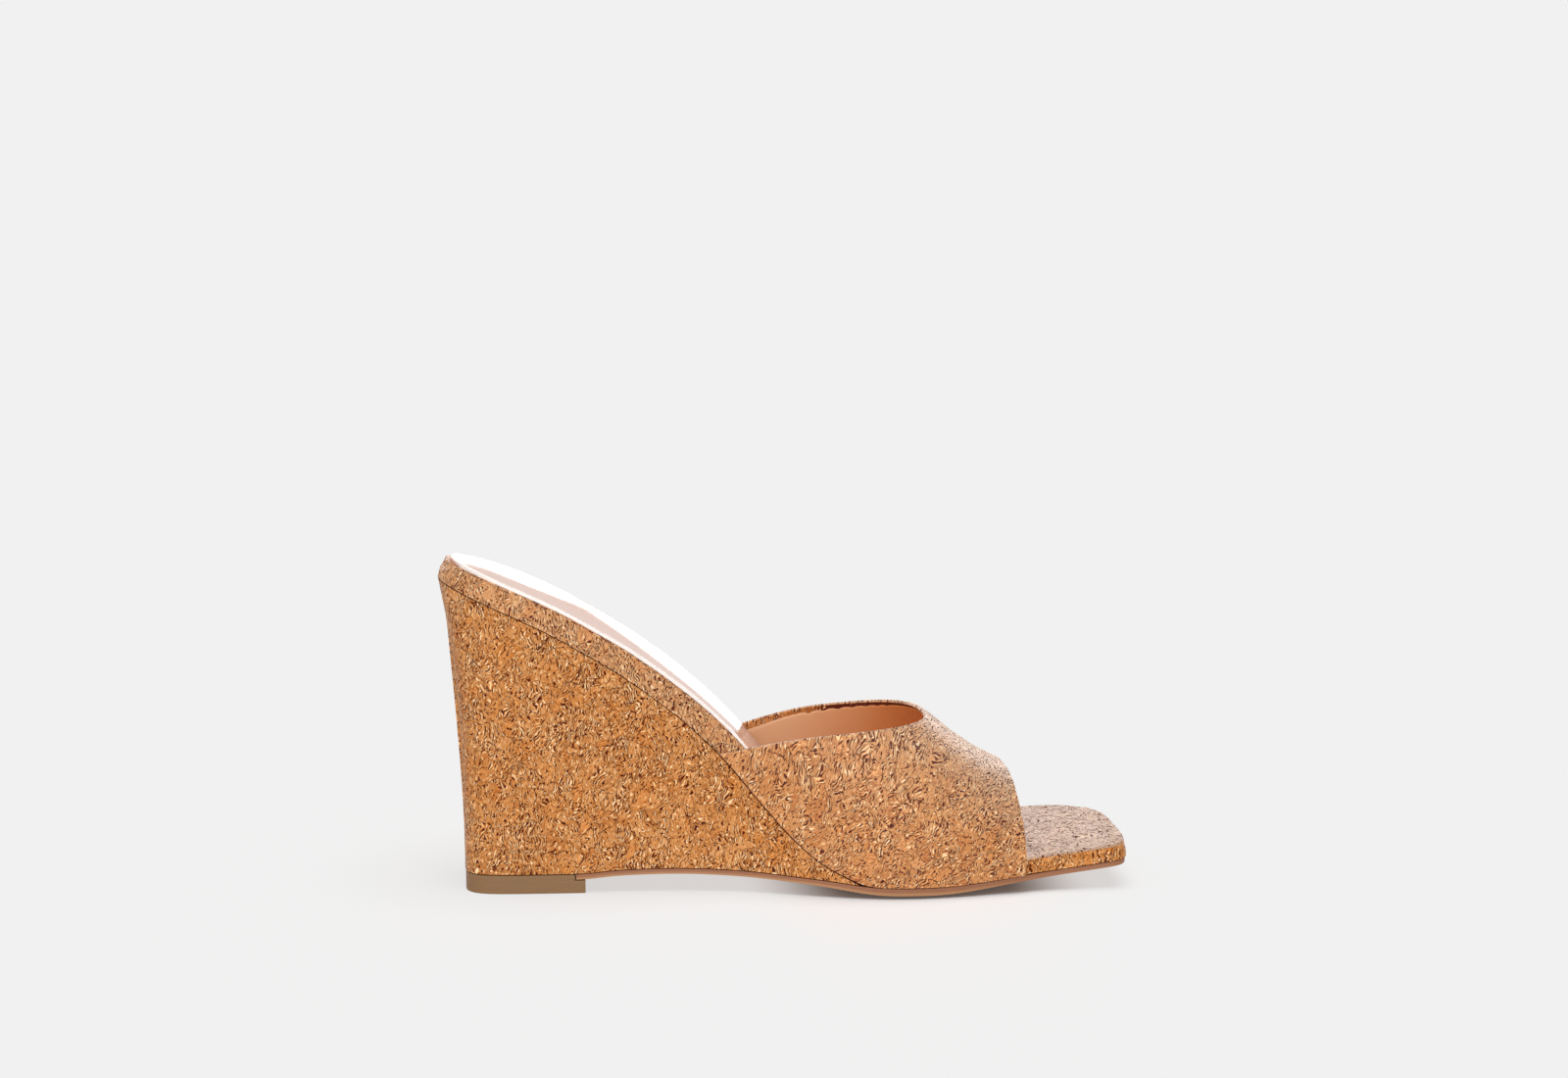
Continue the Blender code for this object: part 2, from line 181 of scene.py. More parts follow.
# Cork tone: its middle, and how much each mark adds to it or takes away
TONE = 0.515
TONE_CHIP = 0.16
TONE_FIBRE = 1.05
TONE_PALE = 1.05
TONE_CRACK = 1.70
TONE_PIT = 1.20
TONE_JOINT = 0.55

# Cork surface: how much painted sheen a crack loses, roughness of the sheet, its strands and its marks,
# how far each mark stands up or lies deep, and the depth of the whole relief in millimetres
PAINTED_SHEEN_CRACK = 0.9
CORK_ROUGH = 0.50
ROUGH_FIBRE = 0.20
ROUGH_MARK = 0.45
RELIEF_CHIP = 0.4
RELIEF_FIBRE = 0.8
RELIEF_PALE = 0.4
RELIEF_CRACK = 0.9
RELIEF_JOINT = 0.5
CORK_RELIEF = 0.20

# Lean of each sheet's grain in radians, and its gloss
WEDGE_LEAN = 0.16
WEDGE_GLOSS = 0.15
BOARD_LEAN = 0.10
BOARD_GLOSS = 0.11
VAMP_LEAN = 0.60
VAMP_GLOSS = 0.48

# Painted shade and sheen of the sheets: where the strip gives way to the toe, where a sheet faces up, how
# much its tone is darkened there as painted shade on the toe, or brightened on the strip and as painted
# light on the vamp's ridge, and how much painted sheen it has
STRIP_END = (50.0, 20.0)
STRIP_BRIGHT = 0.06
STRIP_PAINTED_SHEEN = 0.16
TOE_FACING = (0.50, 0.75)
TOE_PAINTED_SHADE = 0.12
TOE_PAINTED_SHEEN = 0.50
RIDGE_FACING = (0.10, 0.85)
RIDGE_PAINTED_LIGHT = 0.12
RIDGE_PAINTED_SHEEN = 0.32

# Edge of a sheet at a seam: which way the vamp's faces, where an edge counts as turned in, and how dark
# the painted shade along it is
VAMP_EDGE = (-0.59, 0.0, -0.81)
SEAM_TURN = (0.18, 0.40)
SEAM_PAINTED_SHADE = 0.85

# Leather: pores and soft waves by the millimetre, how far they show, and the roughness of its coat
PORES = 2.6
LEATHER_WAVES = 0.045
PORE_ROUGH = 0.06
PORE_RELIEF = 0.06
WAVE_RELIEF = 0.5
LEATHER_RELIEF = 0.10
COAT_ROUGH = 0.06

# Insole: where its edge faces sideways and takes a painted highlight, its soft clouds of deeper pink, and
# its roughness and coat
INSOLE_HIGHLIGHT_FACING = (0.35, 0.60)
CLOUD_WAVES = 0.06
CLOUD_EDGE = (0.3, 0.7)
CLOUD_SHARE = 0.25
CLOUD_DARK = 0.88
INSOLE_ROUGH = 0.30
INSOLE_COAT = 0.60

# Lining: where along the shoe it darkens under the vamp as painted shade and how unevenly, in millimetres,
# and its finish
LINING_SHADE_SPAN = (0.0, 42.0)
LINING_WAVES = 0.05
LINING_DRIFT = 14.0
LINING_ROUGH = 0.40
LINING_GLOSS = 0.5

# Outsole: beige foot of its edge, which is mostly brown towards the toe, beige underside, streaks along it
# and pebbles below, and how far they show
SOLE_BEIGE_BAND = (0.52, 0.30)
SOLE_TOE = (48.0, 80.0)
TOE_BROWN_SHARE = 0.75
SOLE_UNDER = (-0.25, -0.55)
STREAK_WAVES = (0.12, 1.0, 2.2)
STREAK_EDGE = (0.35, 0.75)
STREAK_SHARE = 0.22
STREAK_ROUGH = 0.14
STREAK_RELIEF = 0.3
PEBBLES = 0.9
SOLE_ROUGH = 0.48
SOLE_RELIEF = 0.10

# Heel lift: its specks and trimming marks, by waves a millimetre, and how far they show
SPECK_WAVES = 2.4
SPECK_EDGE = (0.40, 0.75)
SPECK_SHARE = 0.35
SPECK_PALE = 1.28
SPECK_ROUGH = 0.16
SPECK_RELIEF = 0.4
TRIM_WAVES = (0.10, 0.10, 1.8)
TRIM_EDGE = (0.45, 0.70)
TRIM_SHARE = 0.25
TRIM_DARK = 0.78
TRIM_RELIEF = 0.6
LIFT_ROUGH = 0.52
LIFT_RELIEF = 0.06

# Linear colours; the cork's run from its darkest tone to its palest
CORK_STOPS = (
    (0.00, (0.100, 0.010, 0.001)),
    (0.15, (0.280, 0.070, 0.007)),
    (0.30, (0.420, 0.134, 0.024)),
    (0.45, (0.540, 0.202, 0.047)),
    (0.60, (0.660, 0.275, 0.080)),
    (0.75, (0.790, 0.365, 0.128)),
    (0.88, (0.920, 0.485, 0.205)),
    (1.00, (1.000, 0.680, 0.380)),
)
CORK_RED = (1.00, 0.90, 0.74)
# Pale colour of the cork's painted sheen
CORK_PAINTED_SHEEN = (0.480, 0.400, 0.330)
INSOLE_PINK = (0.800, 0.520, 0.420)
# Paler colour of the insole's edge, a painted highlight
INSOLE_EDGE_HIGHLIGHT = (0.960, 0.900, 0.860)
LINING_TAN = (0.870, 0.520, 0.290)
# Darker colour of the lining under the vamp, a painted shade
LINING_SHADE = (0.740, 0.300, 0.095)
SOLE_BROWN = (0.300, 0.112, 0.050)
SOLE_BEIGE = (0.420, 0.200, 0.084)
LIFT_TAN = (0.225, 0.115, 0.044)


class Value:
    """One socket of a finish; arithmetic on it adds Math nodes."""

    def __init__(self, finish, socket):
        self.finish = finish
        self.socket = socket

    def __add__(self, other):
        return self.finish.math("ADD", self, other)

    def __sub__(self, other):
        return self.finish.math("SUBTRACT", self, other)

    def __rsub__(self, other):
        return self.finish.math("SUBTRACT", other, self)

    def __mul__(self, other):
        return self.finish.math("MULTIPLY", self, other)

    __radd__ = __add__
    __rmul__ = __mul__


class Finish:
    """Material of one kind of surface, with the nodes that draw it."""

    def __init__(self, name):
        self.material = bpy.data.materials.new(name)
        self.material.use_nodes = True
        self.tree = self.material.node_tree
        self.shader = self.tree.nodes["Principled BSDF"]

    def feed(self, socket, value):
        """Link a value to a socket, or set a number or colour on it."""
        if isinstance(value, Value):
            self.tree.links.new(value.socket, socket)
        else:
            socket.default_value = value

    def node(self, kind, settings, sockets, output=0):
        """A node of any type: its settings first, then the values or links of its sockets."""
        made = self.tree.nodes.new("ShaderNode" + kind)
        for name, value in settings.items():
            if name == "stops":
                for stop in value[1:-1]:
                    made.color_ramp.elements.new(stop[0])
                for element, (place, colour) in zip(made.color_ramp.elements, value):
                    element.position = place
                    element.color = (*colour, 1)
            else:
                setattr(made, name, value)
        for name, value in sockets.items():
            self.feed(made.inputs[name], value)
        return Value(self, made.outputs[output])

    def math(self, operation, *values):
        """A Math node on numbers."""
        return self.node("Math", {"operation": operation}, dict(enumerate(values)))

    def vector(self, operation, *values):
        """A Vector Math node."""
        return self.node("VectorMath", {"operation": operation}, dict(enumerate(values)))

    def step(self, value, low, high):
        """Smooth step from 0 at low to 1 at high."""
        sockets = {"Value": value, "From Min": low, "From Max": high}
        return self.node("MapRange", {"interpolation_type": "SMOOTHSTEP"}, sockets)

    def mix(self, factor, first, second, blend="MIX"):
        """Mix of two colours."""
        colours = {0: factor, 6: rgba(first), 7: rgba(second)}
        return self.node("Mix", {"data_type": "RGBA", "blend_type": blend}, colours, 2)

    def join(self, x, y, z=0.0):
        """Vector of three numbers."""
        return self.node("CombineXYZ", {}, {0: x, 1: y, 2: z})

    def split(self, vector):
        """Three numbers of a vector or colour."""
        made = self.node("SeparateXYZ", {}, {0: vector})
        return [Value(self, socket) for socket in made.socket.node.outputs]

    def place(self):
        """Place on the shoe in millimetres."""
        spot = self.node("TexCoord", {}, {}, "Object")
        return self.node("VectorMath", {"operation": "SCALE"}, {0: spot, "Scale": 1 / MM})

    def facing(self):
        """Direction that the surface faces."""
        return self.node("NewGeometry", {}, {}, "Normal")

    def turn(self, vector, angle):
        """Flat vector turned by an angle."""
        sockets = {"Vector": vector, "Angle": angle}
        return self.node("VectorRotate", {"rotation_type": "Z_AXIS"}, sockets)

    def noise(self, vector, scale, detail=2.0, output=0, dimensions="3D"):
        """Soft noise, by waves a millimetre."""
        sockets = {"Vector": vector, "Scale": scale, "Detail": detail}
        return self.node("TexNoise", {"noise_dimensions": dimensions}, sockets, output)

    def cells(self, vector, scale, output, feature="F1", dimensions="2D"):
        """Cells of random size, by cells a millimetre."""
        settings = {"voronoi_dimensions": dimensions, "feature": feature}
        return self.node("TexVoronoi", settings, {"Vector": vector, "Scale": scale}, output)

    def also(self, value, output):
        """Another output of the node that a value comes from."""
        return Value(self, value.socket.node.outputs[output])

    def surface(self, colour, roughness, **constants):
        """Colour and roughness of the surface, and values that are the same all over it."""
        self.feed(self.shader.inputs["Base Color"], rgba(colour))
        self.feed(self.shader.inputs["Roughness"], roughness)
        for name, value in constants.items():
            self.shader.inputs[name.replace("_", " ")].default_value = value

    def relief(self, height, depth):
        """Fine relief of a depth in millimetres."""
        sockets = {"Height": height, "Distance": depth * MM}
        self.feed(self.shader.inputs["Normal"], self.node("Bump", {}, sockets))


def rgba(colour):
    """Colour for a socket."""
    return colour if isinstance(colour, Value) else (*colour, 1)


def heel_wrap(f):
    """Place on a sheet wrapped round the heel, from the back along each side."""
    x, y, z = f.split(f.place())
    behind = f.math("MAXIMUM", HEEL_CENTRE - x, 0)
    beyond = f.math("MAXIMUM", x - HEEL_CENTRE, 0)
    angle = f.math("ARCTAN2", y, behind)
    around = angle * HEEL_ROUND + f.math("SIGN", y) * beyond
    return f.join(0 - around, z)


def board_wrap(f):
    """Place on the sheet over the footbed: wrapped on its edge, flat on its top and toe front."""
    x, y, z = f.split(f.place())
    towards_x, _, towards_z = f.split(f.facing())
    top = f.math("GREATER_THAN", towards_z, TOP_FACING)
    front = f.math("GREATER_THAN", towards_x, FRONT_FACING)
    side = f.node("Mix", {"data_type": "VECTOR"}, {0: front, 4: heel_wrap(f), 5: f.join(y, z)}, 1)
    flat = f.join(y * TOP_STRETCH[0], x * TOP_STRETCH[1])
    return f.node("Mix", {"data_type": "VECTOR"}, {0: top, 4: side, 5: flat}, 1)


def vamp_wrap(f):
    """Place on a sheet laid over the arch of the vamp."""
    x, y, z = f.split(f.place())
    angle = f.math("ARCTAN2", y - VAMP_MIDDLE[0], z - VAMP_MIDDLE[1])
    return f.join(x, angle * VAMP_ROUND)


def seam_shade(f, direction):
    """Painted shade on the folded or cut edge of a sheet, where it turns in to a seam on one side."""
    turned = f.node("VectorMath", {"operation": "DOT_PRODUCT"}, {0: f.facing(), 1: direction}, "Value")
    return f.step(turned, *SEAM_TURN) * SEAM_PAINTED_SHADE


def wedge_shade(f):
    """Painted shade and sheen of the wedge: painted shade along its edge below the strip, and no sheen."""
    return seam_shade(f, (0, 0, 1)), 0.0


def board_shade(f):
    """Painted shade and sheen of the footbed: a brighter strip with some painted sheen, painted shade and
    painted sheen on the toe top, and painted shade along its lower edge.
    """
    along = f.split(f.place())[0]
    strip = f.step(along, *STRIP_END)
    top = f.step(f.split(f.facing())[2], *TOE_FACING) * (1 - strip)
    painted_shade_and_tone = top * TOE_PAINTED_SHADE - strip * STRIP_BRIGHT + seam_shade(f, (0, 0, -1))
    return painted_shade_and_tone, strip * STRIP_PAINTED_SHEEN + top * TOE_PAINTED_SHEEN


def vamp_shade(f):
    """Painted shade and sheen of the vamp: painted shade along its edge at the wedge, and painted light
    and painted sheen towards its ridge.
    """
    top = f.step(f.split(f.facing())[2], *RIDGE_FACING)
    return seam_shade(f, VAMP_EDGE) - top * RIDGE_PAINTED_LIGHT, top * RIDGE_PAINTED_SHEEN


def stretched(f, spot, size):
    """Place on a pattern whose marks have a width and length in millimetres."""
    return f.vector("MULTIPLY", spot, (1 / size[0], 1 / size[1], 1.0))


def wander(f, spot, waves, reach):
    """Place moved softly about, by waves a millimetre and within a reach in millimetres."""
    drift = f.vector("SUBTRACT", f.noise(spot, waves, output=1, dimensions="2D"), (0.5, 0.5, 0.5))
    return f.vector("ADD", spot, f.node("VectorMath", {"operation": "SCALE"}, {0: drift, "Scale": reach}))


def strands(f, grain, size, offset):
    """Noise drawn out along the grain, by a width and length in millimetres."""
    moved = f.vector("ADD", grain, (offset, offset * OFFSET_SLANT, 0.0))
    return f.noise(stretched(f, moved, size), 1.0, dimensions="2D")


def hairs(f, across, pitch, shift, width):
    """Thin lines along the grain, by their pitch and half width in millimetres."""
    return f.step(f.math("PINGPONG", across + shift, pitch / 2), width, width * HAIR_CORE)


def scraps(f, grain, size, share):
    """Small loose slivers of a width and length in millimetres, on about a share of the sheet."""
    middle = f.cells(stretched(f, grain, size), 1.0, "Distance")
    kind = f.split(f.also(middle, "Color"))[0]
    return f.step(kind, 1 - PIT_SOFT - share, 1 + PIT_SOFT - share) * f.step(middle, *PIT_ROUND)


def cork(name, wrap, lean, gloss, shade):
    """Cork sheet of pressed chips, each a mass of fine strands, leaning by an angle, with the painted
    shade, light and sheen that its shade function gives.
    """
    f = Finish(name)
    sheet = f.turn(wrap(f), lean)
    laid = wander(f, sheet, DRIFT_WAVES, DRIFT_REACH)
    long_chips = f.vector("MULTIPLY", laid, CHIP_SQUASH)
    hue, lay, height = f.split(f.cells(long_chips, CHIPS, "Color"))
    grain = wander(f, f.turn(laid, (lay - 0.5) * CHIP_TURN), RIPPLE_WAVES, RIPPLE_REACH)
    across = f.split(grain)[0]

    # Painted shade in the seams and on the toe top, painted light on the vamp's ridge and a brighter
    # strip, and painted sheen where a sheet faces up
    painted_shade_and_tone, painted_sheen = shade(f)
    fibres = strands(f, grain, FIBRE_SIZE, 0.0)
    patches = f.noise(sheet, BUSY_WAVES, dimensions="2D")
    busy = (patches - 0.5) * BUSY_PATCH + (height - 0.5) * BUSY_CHIP - painted_shade_and_tone * BUSY_DULL
    dark_places = strands(f, grain, STROKE_SIZE, CRACK_OFFSET) + busy
    pale_places = strands(f, grain, STROKE_SIZE, PALE_OFFSET) + busy
    cracks = hairs(f, across, CRACK_PITCH, 0.0, CRACK_WIDTH) * f.step(dark_places, *CRACK_PLACES)
    pale = hairs(f, across, PALE_PITCH, PALE_SHIFT, PALE_WIDTH) * f.step(pale_places, *PALE_PLACES)
    pits = scraps(f, grain, PIT_SIZE, PIT_SHARE)
    border = f.cells(long_chips, CHIPS, "Distance", "DISTANCE_TO_EDGE")
    joints = f.step(border, *JOINT_WIDTH) * f.step(dark_places, *JOINT_PLACES)

    tone = TONE + (hue - 0.5) * TONE_CHIP + (fibres - 0.5) * TONE_FIBRE - painted_shade_and_tone
    tone = tone + pale * TONE_PALE - cracks * TONE_CRACK - pits * TONE_PIT - joints * TONE_JOINT
    colour = f.node("ValToRGB", {"stops": CORK_STOPS}, {0: tone})
    colour = f.mix(f.step(lay, *RED_CHIPS), colour, CORK_RED, "MULTIPLY")
    # Painted sheen: a pale colour mixed in where a sheet faces up, less in its cracks and pits
    colour = f.mix(painted_sheen * (1 - f.math("MAXIMUM", pits, cracks * PAINTED_SHEEN_CRACK)), colour, CORK_PAINTED_SHEEN)

    roughness = CORK_ROUGH - fibres * ROUGH_FIBRE + (cracks + pits) * ROUGH_MARK
    f.surface(colour, roughness, Specular_IOR_Level=gloss)
    raised = height * RELIEF_CHIP + fibres * RELIEF_FIBRE + pale * RELIEF_PALE
    f.relief(raised - pits - cracks * RELIEF_CRACK - joints * RELIEF_JOINT, CORK_RELIEF)
    return f.material


def dyed(colour, amount):
    """Colour made darker or paler by an amount."""
    return tuple(part * amount for part in colour)


def leather(f, colour, roughness, gloss, coat):
    """Smooth leather of a colour, with fine pores, soft waves and a gloss."""
    place = f.place()
    pores = f.cells(place, PORES, "Distance", dimensions="3D")
    waves = f.noise(place, LEATHER_WAVES, detail=1.0)
    f.surface(colour, roughness + pores * PORE_ROUGH, Specular_IOR_Level=gloss, Coat_Weight=coat,
              Coat_Roughness=COAT_ROUGH)
    f.relief(pores * PORE_RELIEF + waves * WAVE_RELIEF, LEATHER_RELIEF)
    return f.material


def insole_leather(name):
    """Pale pink leather, with a painted highlight along its edge where it faces sideways."""
    f = Finish(name)
    sideways = f.math("ABSOLUTE", f.split(f.facing())[1])
    clouds = f.step(f.noise(f.place(), CLOUD_WAVES, detail=3.0), *CLOUD_EDGE)
    pink = f.mix(clouds * CLOUD_SHARE, INSOLE_PINK, dyed(INSOLE_PINK, CLOUD_DARK))
    # Painted highlight: paler where the insole faces sideways, along its edge
    colour = f.mix(f.step(sideways, *INSOLE_HIGHLIGHT_FACING), pink, INSOLE_EDGE_HIGHLIGHT)
    return leather(f, colour, INSOLE_ROUGH, 0.0, INSOLE_COAT)


def lining_leather(name):
    """Tan lining, darker and deeper in colour towards the front of the throat: painted shade under the
    vamp.
    """
    f = Finish(name)
    place = f.place()
    along = f.split(place)[0]
    drift = f.noise(place, LINING_WAVES, detail=3.0) * LINING_DRIFT - LINING_DRIFT / 2
    # Painted shade: the lining darkens towards the front of the throat, under the vamp
    colour = f.mix(f.step(along + drift, *LINING_SHADE_SPAN), LINING_TAN, LINING_SHADE)
    return leather(f, colour, LINING_ROUGH, LINING_GLOSS, 0.0)


def outsole_rubber(name):
    """Moulded sole with a brown edge, beige along the foot of the edge and on the underside."""
    f = Finish(name)
    place = f.place()
    along = f.split(place)[0]
    rise = f.node("Attribute", {"attribute_name": SOLE_GAUGE}, {}, "Fac")
    beige_band = f.step(rise, *SOLE_BEIGE_BAND) * (1 - TOE_BROWN_SHARE * f.step(along, *SOLE_TOE))
    under = f.step(f.split(f.facing())[2], *SOLE_UNDER)
    streaks = f.noise(f.vector("MULTIPLY", place, STREAK_WAVES), 1.0, detail=3.0)
    pebbles = f.cells(place, PEBBLES, "Distance", dimensions="3D")
    colour = f.mix(f.math("MAXIMUM", under, beige_band), SOLE_BROWN, SOLE_BEIGE)
    colour = f.mix(f.step(streaks, *STREAK_EDGE) * STREAK_SHARE, colour, SOLE_BEIGE)
    f.surface(colour, SOLE_ROUGH + streaks * STREAK_ROUGH)
    f.relief(under * pebbles + streaks * STREAK_RELIEF, SOLE_RELIEF)
    return f.material


def lift_rubber(name):
    """Matt tan rubber of the heel lift, with the marks of its trimming."""
    f = Finish(name)
    place = f.place()
    specks = f.noise(place, SPECK_WAVES, detail=3.0)
    trimmed = f.noise(f.vector("MULTIPLY", place, TRIM_WAVES), 1.0)
    colour = f.mix(f.step(specks, *SPECK_EDGE) * SPECK_SHARE, LIFT_TAN, dyed(LIFT_TAN, SPECK_PALE))
    colour = f.mix(f.step(trimmed, *TRIM_EDGE) * TRIM_SHARE, colour, dyed(LIFT_TAN, TRIM_DARK))
    f.surface(colour, LIFT_ROUGH + specks * SPECK_ROUGH)
    f.relief(specks * SPECK_RELIEF + trimmed * TRIM_RELIEF, LIFT_RELIEF)
    return f.material


def pick(piece):
    """Make a piece the only one selected."""
    bpy.ops.object.select_all(action="DESELECT")
    piece.select_set(True)
    bpy.context.view_layer.objects.active = piece


def copy_of(node, name):
    """Copy of a CAD node with its facets merged into quads, open in edit mode."""
    piece = bpy.data.objects.new(name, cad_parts[node].data.copy())
    shoe.objects.link(piece)
    pick(piece)
    bpy.ops.mesh.customdata_custom_splitnormals_clear()
    bpy.ops.object.mode_set(mode="EDIT")
    bpy.ops.mesh.select_mode(type="EDGE")
    bpy.ops.mesh.select_all(action="SELECT")
    bpy.ops.mesh.remove_doubles(threshold=MERGE)
    bpy.ops.mesh.tris_convert_to_quads(
        face_threshold=QUAD_ANGLE, shape_threshold=QUAD_SHAPE, topology_influence=1.0)
    return piece


def fold_edges(width):
    """Round the sharp edges of the piece in edit mode."""
    bpy.ops.mesh.select_all(action="DESELECT")
    bpy.ops.mesh.edges_select_sharp(sharpness=SHARP_ANGLE)
    bpy.ops.mesh.bevel(offset=width, segments=FOLD_STEPS, affect="EDGES", clamp_overlap=True)


def finish_shape(piece, levels):
    """Leave edit mode and smooth the piece."""
    bpy.ops.object.mode_set(mode="OBJECT")
    apply_modifier(piece, "SUBSURF", levels=levels, render_levels=levels)
    bpy.ops.object.shade_smooth(keep_sharp_edges=False)


def apply_modifier(piece, kind, **settings):
    """Add a modifier to the active piece and apply it."""
    modifier = piece.modifiers.new(kind.lower(), kind)
    for name, value in settings.items():
        setattr(modifier, name, value)
    bpy.ops.object.modifier_apply(modifier=modifier.name)


def dress(piece, finish, slot, *nodes):
    """Give a finished piece its material and body, and hide the CAD nodes that it stands for; its slot is
    not used.
    """
    piece.data.materials.clear()
    piece.data.materials.append(finish)
    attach(piece, "root")
    if nodes:
        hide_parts(*nodes)


def make_solid(node, name, edge, levels):
    """Piece that keeps its CAD solid's shape, with its edges folded or rounded."""
    piece = copy_of(node, name)
    fold_edges(edge)
    finish_shape(piece, levels)
    return piece


def make_vamp():
    """Cork vamp with a round fold along its throat and toe, and a close edge at the sole."""
    piece = copy_of("upper_vamp", "vamp_cork")
    bpy.ops.mesh.select_all(action="DESELECT")
    bpy.ops.mesh.edges_select_sharp(sharpness=SHARP_ANGLE)
    shape = bmesh.from_edit_mesh(piece.data)
    lasted = [edge for edge in shape.edges if edge.select
              and min(face.normal.z for face in edge.link_faces) < FACES_DOWN]
    for edge in lasted:
        edge.select_set(False)
    bmesh.update_edit_mesh(piece.data)
    bpy.ops.mesh.bevel(offset=TOPLINE_FOLD, segments=FOLD_STEPS, affect="EDGES", clamp_overlap=True)
    bpy.ops.mesh.select_all(action="DESELECT")
    bpy.ops.mesh.edges_select_sharp(sharpness=SHARP_ANGLE)
    bpy.ops.mesh.bevel(offset=LASTED_FOLD, segments=LASTED_STEPS, affect="EDGES", clamp_overlap=True)
    finish_shape(piece, SMOOTH)
    bpy.ops.object.shade_smooth_by_angle(angle=SHARP_ANGLE)
    return piece


def make_outsole():
    """Outsole that knows the height on its edge."""
    piece = make_solid("outsole", "outsole_rubber", SOLE_EDGE, SMOOTH)
    rings = {}
    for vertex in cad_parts["outsole"].data.vertices:
        rings.setdefault(round(vertex.co.x, RING_PLACES), []).append(vertex.co)
    places = sorted(rings)
    tops = [max(spot.z for spot in rings[x]) for x in places]
    widths = [min(spot.y for spot in rings[x]) for x in places]
    feet = [min(spot.z for spot in rings[x] if spot.y < width + SOLE_EDGE)
            for x, width in zip(places, widths)]
    heights = [vertex.co.z for vertex in piece.data.vertices]
    along = [vertex.co.x for vertex in piece.data.vertices]
    foot = np.interp(along, places, feet)
    gauge = (heights - foot) / (np.interp(along, places, tops) - foot)
    piece.data.attributes.new(SOLE_GAUGE, "FLOAT", "POINT").data.foreach_set("value", gauge)
    return piece


def make_lining():
    """Leather lining on the inside of the vamp, set below the folded cork edge."""
    piece = copy_of("upper_vamp", "vamp_lining")
    bpy.ops.mesh.select_mode(type="FACE")
    bpy.ops.mesh.select_all(action="DESELECT")
    bpy.ops.object.mode_set(mode="OBJECT")
    for face in piece.data.polygons:
        out = face.center - LINING_AXIS
        out.x = 0
        face.select = face.normal.dot(out.normalized()) > FACES_IN
    bpy.ops.object.mode_set(mode="EDIT")
    bpy.ops.mesh.delete(type="FACE")
    finish_shape(piece, SMOOTH)
    trim_edges()
    sink_edges(piece)
    apply_modifier(piece, "SOLIDIFY", thickness=LINING_THICKNESS, offset=-1)
    return piece


def trim_edges():
    """Cut the outermost rows of faces off the active sheet, so that it ends inside its wall."""
    bpy.ops.object.mode_set(mode="EDIT")
    bpy.ops.mesh.select_mode(type="VERT")
    for _ in range(LINING_TRIM):
        bpy.ops.mesh.select_all(action="DESELECT")
        bpy.ops.mesh.select_non_manifold()
        bpy.ops.mesh.delete(type="VERT")
    bpy.ops.object.mode_set(mode="OBJECT")


def sink_edges(piece):
    """Lay a sheet proud of its wall, with the margin along its edges sunk into it."""
    mesh = piece.data
    uses = {}
    for face in mesh.polygons:
        for key in face.edge_keys:
            uses[key] = uses.get(key, 0) + 1
    rim = sorted({vertex for key, count in uses.items() if count == 1 for vertex in key})
    tree = KDTree(len(rim))
    for i, vertex in enumerate(rim):
        tree.insert(mesh.vertices[vertex].co, i)
    tree.balance()
    normals = [vertex.normal.copy() for vertex in mesh.vertices]
    for vertex, normal in zip(mesh.vertices, normals):
        distance = tree.find(vertex.co)[2]
        rise = min(max((distance - FOLD_WIDTH) / LINING_STEP + 0.5, 0), 1)
        rise = rise * rise * (3 - 2 * rise)
        vertex.co += normal * (rise * (LINING_PROUD + LINING_SUNK) - LINING_SUNK)


def make_floor():
    """Pale floor that fades into the backdrop away from the shoe, with a glow, painted light, that
    lightens the shoe's shadow under the arch and before the toe.
    """
    bpy.ops.mesh.primitive_circle_add(vertices=FLOOR_SIDES, radius=FLOOR_RADIUS, fill_type="NGON")
    floor = bpy.context.object
    floor.name = "floor"
    studio.objects.link(floor)
    f = Finish("studio_floor")
    spot = f.node("TexCoord", {}, {}, "Object")
    along = f.split(spot)[0]
    away = f.node("VectorMath", {"operation": "LENGTH"}, {0: spot}, "Value")
    # Painted light: the floor's glow is low under the ball and grows under the arch and before the toe,
    # where it lightens the shoe's shadow; away from the shoe it is the even backdrop
    under = GLOW_BALL + (GLOW_ARCH - GLOW_BALL) * f.step(along, *BALL_BACK)
    under = under + (GLOW_TOE - GLOW_BALL) * f.step(along, *BALL_FRONT)
    glow = f.math("MAXIMUM", under, f.step(away, *FLOOR_FADE))
    f.surface(f.mix(glow, (FLOOR_ALBEDO,) * 3, (0, 0, 0)), 1.0, Specular_IOR_Level=0, Emission_Strength=1)
    f.feed(f.shader.inputs["Emission Color"], f.mix(glow, (0, 0, 0), (BACKDROP,) * 3))
    floor.data.materials.append(f.material)


def make_light(name, place, aim, roll, size, radiance, lit):
    """Soft box on one group that the camera doesn't see, as bright as its radiance."""
    lamp = bpy.data.lights.new(name, "AREA")
    lamp.shape = "RECTANGLE"
    lamp.size, lamp.size_y = size
    lamp.energy = radiance * math.pi * size[0] * size[1]
    box = bpy.data.objects.new(name, lamp)
    bpy.context.collection.objects.link(box)
    box.location = place
    turn = (Vector(aim) - Vector(place)).to_track_quat("-Z", "Y")
    box.rotation_euler = (turn @ Quaternion((0, 0, 1), roll)).to_euler()
    box.visible_camera = False
    box.light_linking.receiver_collection = lit


def make_sun(name, light, tilt, lit):
    """Broad even light from above on one group, as bright as it makes a level white surface."""
    lamp = bpy.data.lights.new(name, "SUN")
    lamp.energy = light / math.cos(tilt)
    lamp.angle = SUN_SPREAD
    sun = bpy.data.objects.new(name, lamp)
    bpy.context.collection.objects.link(sun)
    sun.location = AIM_POINT
    sun.rotation_euler = (-tilt, 0, 0)
    sun.light_linking.receiver_collection = lit


